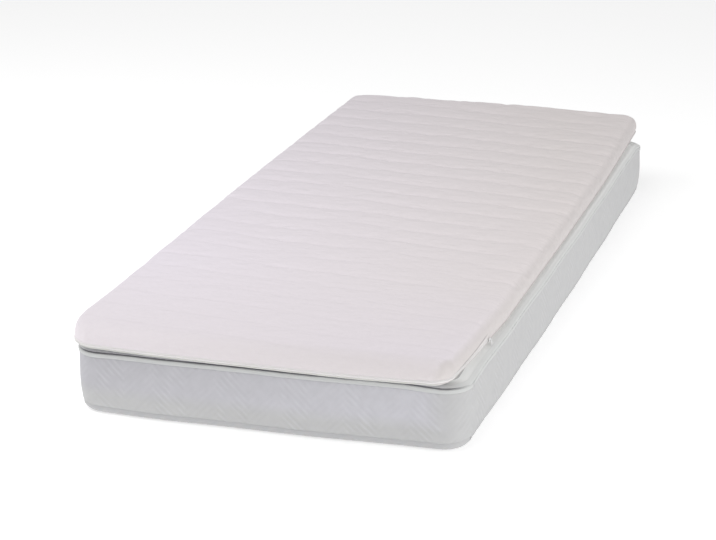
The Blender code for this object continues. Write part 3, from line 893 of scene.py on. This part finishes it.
def zip_path():
    """The zip's line on the groove's floor, from the slider on the +X side round the near end to -X.

    It starts and ends where the frame's own zip does.
    """
    core_x, core_y = TOPPER_CORE
    anchors, directions = walk(core_x, core_y, marks(core_y, TAPE_STEP), marks(core_x, TAPE_STEP))
    anchors, directions = anchors[:-1], directions[:-1]
    plan = anchors + directions * (TOPPER_CORNER - GROOVE_INSET + TOUCHING_GAP)
    height = np.full(len(plan), GROOVE_HEIGHT)
    points, _ = topper_points(plan[:, 0], plan[:, 1], np.zeros(len(plan)), height)
    slider_low, slider_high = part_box("topper_zip_slider")
    left_end, right_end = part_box("topper_zip_tape")[1].y, (slider_low.y + slider_high.y) / 2
    near = points[:, 1] < np.where(points[:, 0] > 0, right_end, left_end)
    first_left = int(np.argmax(near & (points[:, 0] < 0)))
    last_right = int(np.argmax(~near))
    points = np.concatenate((points[first_left:], points[:last_right]))
    tangent = np.gradient(points, axis=0)
    tangent /= np.linalg.norm(tangent, axis=1, keepdims=True)
    outward = np.column_stack((tangent[:, 1], -tangent[:, 0], np.zeros(len(points))))
    return points, tangent, outward


def closed_ends(grid):
    """A carried profile with its two open ends gathered to their middles."""
    first, last = grid[:, :1].mean(axis=0, keepdims=True), grid[:, -1:].mean(axis=0, keepdims=True)
    shape = (len(grid), 1, 3)
    return np.concatenate((np.broadcast_to(first, shape), grid, np.broadcast_to(last, shape)), axis=1)


def build_zip(path, tape_material, teeth_material):
    """A woven tape with a ridge down its middle, and one interlocked tooth every pitch along the ridge."""
    points, tangent, outward = path
    walked = lengths_along(points)
    half = ZIP_TAPE_HEIGHT / 2
    profile = mirrored((                  # distance outwards from the groove's floor, height from the middle
        (0.0000, -half),
        (ZIP_WEB, -half),
        (ZIP_WEB, -0.0016),
        (ZIP_RIDGE, -0.0011),
    ))
    grid = closed_ends(carried_profile(points, outward, profile))
    around = lengths_along(profile)
    walked_ends = np.concatenate((walked[:1], walked, walked[-1:]))
    uv = np.stack(np.broadcast_arrays(walked_ends[None], around[:, None]), axis=-1)
    tape = surface("zip_tape_web", [(grid, uv, 0.0)], tape_material)
    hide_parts("topper_zip_tape")

    count = int(walked[-1] / ZIP_TEETH_PITCH)
    places = (np.arange(count) + 0.5) * ZIP_TEETH_PITCH
    at, along, out = (np.column_stack([np.interp(places, walked, line[:, axis]) for axis in range(3)])
                      for line in (points, tangent, outward))
    thick, long, tall = ZIP_TOOTH
    rows = ((-0.5, 0.55), (-0.36, 1.0), (0.36, 1.0), (0.5, 0.55))    # place along a tooth, height there
    section = ((0.0, -1.0), (1.0, -1.0), (1.0, 1.0), (0.0, 1.0), (0.0, -1.0))
    blocks = []
    for side in (-1, 1):                  # the two rows of teeth interlock above and below the middle
        shift = side * ZIP_TEETH_PITCH / 4
        level = side * tall / 5
        corners = np.array([[(ZIP_TEETH_FOOT + o * thick, place * long + shift, level + u * share * tall / 4)
                             for o, u in section] for place, share in rows])
        first, last = (corners[k:k + 1].mean(axis=1, keepdims=True).repeat(5, axis=1) for k in (0, 3))
        tooth = np.concatenate((first, corners, last))
        blocks.extend(set_in_place(tooth[None], at[:, None, None], out[:, None, None], along[:, None, None]))
    surface("zip_teeth", plain(*blocks), teeth_material)


def rounded_form(size, rows=14, columns=24, squareness=0.45):
    """A block with soft corners: a sphere whose sines and cosines are raised to a small power."""
    lift = np.linspace(-math.pi / 2, math.pi / 2, rows)[:, None]
    turn = np.linspace(-math.pi, math.pi, columns)[None]
    lift_cos, lift_sin, turn_cos, turn_sin = (soft_power(value, squareness) for value in (
        np.cos(lift), np.sin(lift), np.cos(turn), np.sin(turn)))
    form = np.stack((lift_cos * turn_cos, lift_cos * turn_sin, lift_sin * np.ones_like(turn)), axis=-1)
    form = form * np.array(size) / 2
    form[:, -1] = form[:, 0]
    return form


def set_in_place(form, origin, outward, along):
    """Local outwards, along and up turned into the frame and moved to their place."""
    placed = origin + form[..., :1] * outward + form[..., 1:2] * along
    placed[..., 2] += form[..., 2]
    return placed


def node_middle(node):
    low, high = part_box(node)
    return np.array((low + high) / 2)


def build_slider(path, material):
    """A soft-cornered slider narrowed at its waist, with its bridge, and a drilled pull tab hanging flat.

    The bridge is a ring of wire swept through half a turn, longer than it is high. The body is set back
    by half of the bridge's rise, so that both together are about as thick as the solid.
    """
    along, outward = path[1][-1], path[2][-1]
    thickness, length, height = SLIDER_SIZE
    body_thickness = thickness - BRIDGE_RISE
    middle = node_middle("topper_zip_slider") - outward * BRIDGE_RISE / 2
    body = rounded_form((body_thickness, length, height))
    body[..., 2] *= 1.0 - 0.16 * np.cos(np.clip(body[..., 1] / length, -0.5, 0.5) * math.pi) ** 2
    turn = np.linspace(0.0, 2 * math.pi, 13)
    bend = np.linspace(0.0, math.pi, 13)[:, None]
    ring_out, ring_up = BRIDGE_WIRE * np.cos(turn), BRIDGE_WIRE * np.sin(turn)
    bridge = np.stack((
        body_thickness / 2 - BRIDGE_FOOT + (BRIDGE_RISE + ring_out) * np.sin(bend),
        (BRIDGE_REACH + ring_out) * np.cos(bend),
        ring_up + height * 0.18 + 0.0 * bend,
    ), axis=-1)
    forms = [set_in_place(form, middle, outward, along) for form in (body, bridge)]
    slider = surface("zip_slider_body", plain(*forms), material)
    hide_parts("topper_zip_slider")

    thick, wide, tall = PULL_SIZE
    face, flank = thick / 2, thick / 2 - PULL_BEVEL
    angle = np.linspace(0.0, 2 * math.pi, 41)
    circle = np.column_stack((np.cos(angle), np.sin(angle)))
    outer = soft_power(circle, 0.6) * (wide / 2, tall / 2)
    hole = circle * wide * 0.22 - (0.0, tall * 0.30)
    rim = outer * (1.0 - PULL_BEVEL / (wide / 2))
    loops = ((outer, -flank), (outer, flank), (rim, face), (hole, face), (hole, -face), (rim, -face),
             (outer, -flank))
    tab = np.stack([np.column_stack((np.full(len(line), out), line)) for line, out in loops])
    tab = set_in_place(tab, node_middle("topper_zip_pull"), outward, along)
    pull = surface("zip_pull_tab", plain(tab), material)
    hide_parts("topper_zip_pull")


# ---------------- floor, light and camera

CAMERA_PLACE = (1.61044, -5.43723, 2.01233)
CAMERA_YAW = 0.304112                   # radians, to the left of +Y
CAMERA_PITCH = 0.334963                 # radians, downwards
CAMERA_ROLL = -0.010454
CAMERA_LENS = 118.25                    # millimetres, as is the sensor
SENSOR_WIDTH = 36.0

FLOOR_SIZE = 40.0
FLOOR_GLOW = 0.39
SURROUND_STRENGTH = 0.466
SOFT_LIGHTS = (                         # name, place, what it points at, size, power in watts
    ("upper_light", (-0.6, -1.2, 3.4), (0.0, -0.2, 0.2), (2.4, 2.4), 25.0),
    ("left_light", (-2.3, -1.2, 2.4), (0.0, -0.3, 0.2), (2.4, 2.4), 31.0),
    ("right_fill", (3.6, -0.5, 1.1), (0.3, -0.3, 0.1), (4.0, 1.6), 20.0),
    ("front_fill", (3.2, -2.6, 1.3), (0.3, -0.6, 0.1), (2.0, 2.0), 22.0),
)


def build_camera():
    """Turned from looking down: tilted up to its pitch, then round by its yaw, with a little roll."""
    data = bpy.data.cameras.new("camera")
    data.sensor_fit = "HORIZONTAL"
    data.sensor_width = SENSOR_WIDTH
    data.lens = CAMERA_LENS
    camera = in_scene("camera", data)
    camera.matrix_world = (
        Matrix.Translation(CAMERA_PLACE) @ Matrix.Rotation(CAMERA_YAW, 4, "Z")
        @ Matrix.Rotation(math.pi / 2 - CAMERA_PITCH, 4, "X") @ Matrix.Rotation(CAMERA_ROLL, 4, "Z")
    )
    bpy.context.scene.camera = camera


def build_lights():
    """The soft lights, each turned to the place that it points at."""
    for name, place, target, size, power in SOFT_LIGHTS:
        data = bpy.data.lights.new(name, "AREA")
        data.shape = "RECTANGLE"
        data.size, data.size_y = size
        data.energy = power
        light = in_scene(name, data)
        light.location = place
        light.rotation_euler = (Vector(target) - Vector(place)).to_track_quat("-Z", "Y").to_euler()


def build_studio():
    """A pale floor that glows a little, as a light table does, and a white surround."""
    material, _ = new_material("matt_white_floor", {
        "Base Color": linear_rgba("F7F7F7"), "Roughness": 0.95,
        "Emission Color": (1.0, 1.0, 1.0, 1.0), "Emission Strength": FLOOR_GLOW})
    half = FLOOR_SIZE / 2
    mesh = bpy.data.meshes.new("studio_floor")
    corners = [(-half, -half, 0.0), (half, -half, 0.0), (half, half, 0.0), (-half, half, 0.0)]
    mesh.from_pydata(corners, [], [(0, 1, 2, 3)])
    mesh.materials.append(material)
    in_scene("studio_floor", mesh)

    world = bpy.data.worlds.new("studio")
    world.use_nodes = True
    background = world.node_tree.nodes["Background"]
    background.inputs["Color"].default_value = (1.0, 1.0, 1.0, 1.0)
    background.inputs["Strength"].default_value = SURROUND_STRENGTH
    bpy.context.scene.world = world
    bpy.context.scene.view_settings.view_transform = "Standard"


# Each tape's near, side and far colours differ as painted light and shade.
edge_tape = sewn_tape("woven_binding_tape", "D2D3D3", "D0D1D0", "D2D3D2", "C4C5C5", 0.0022)
hem_tape = sewn_tape("woven_hem_tape", "C4C4C6", "C8C8C8", "C8C8C8", "B8B8BA", 0.0022)
zip_tape = sewn_tape("woven_zip_tape", "F4F1F1", "F6F4F4", "F6F4F4", "E6E3E3", 0.0016)
build_topper(quilted_knit())
build_mattress(herringbone_ticking())
build_tape("mattress_upper_binding", "mattress_upper_tape", UPPER_TAPE, edge_tape)
build_tape("mattress_lower_binding", "mattress_lower_tape", LOWER_TAPE, hem_tape)
path = zip_path()
build_zip(path, zip_tape, moulded_teeth())
build_slider(path, lacquered_zinc())
build_studio()
build_lights()
build_camera()
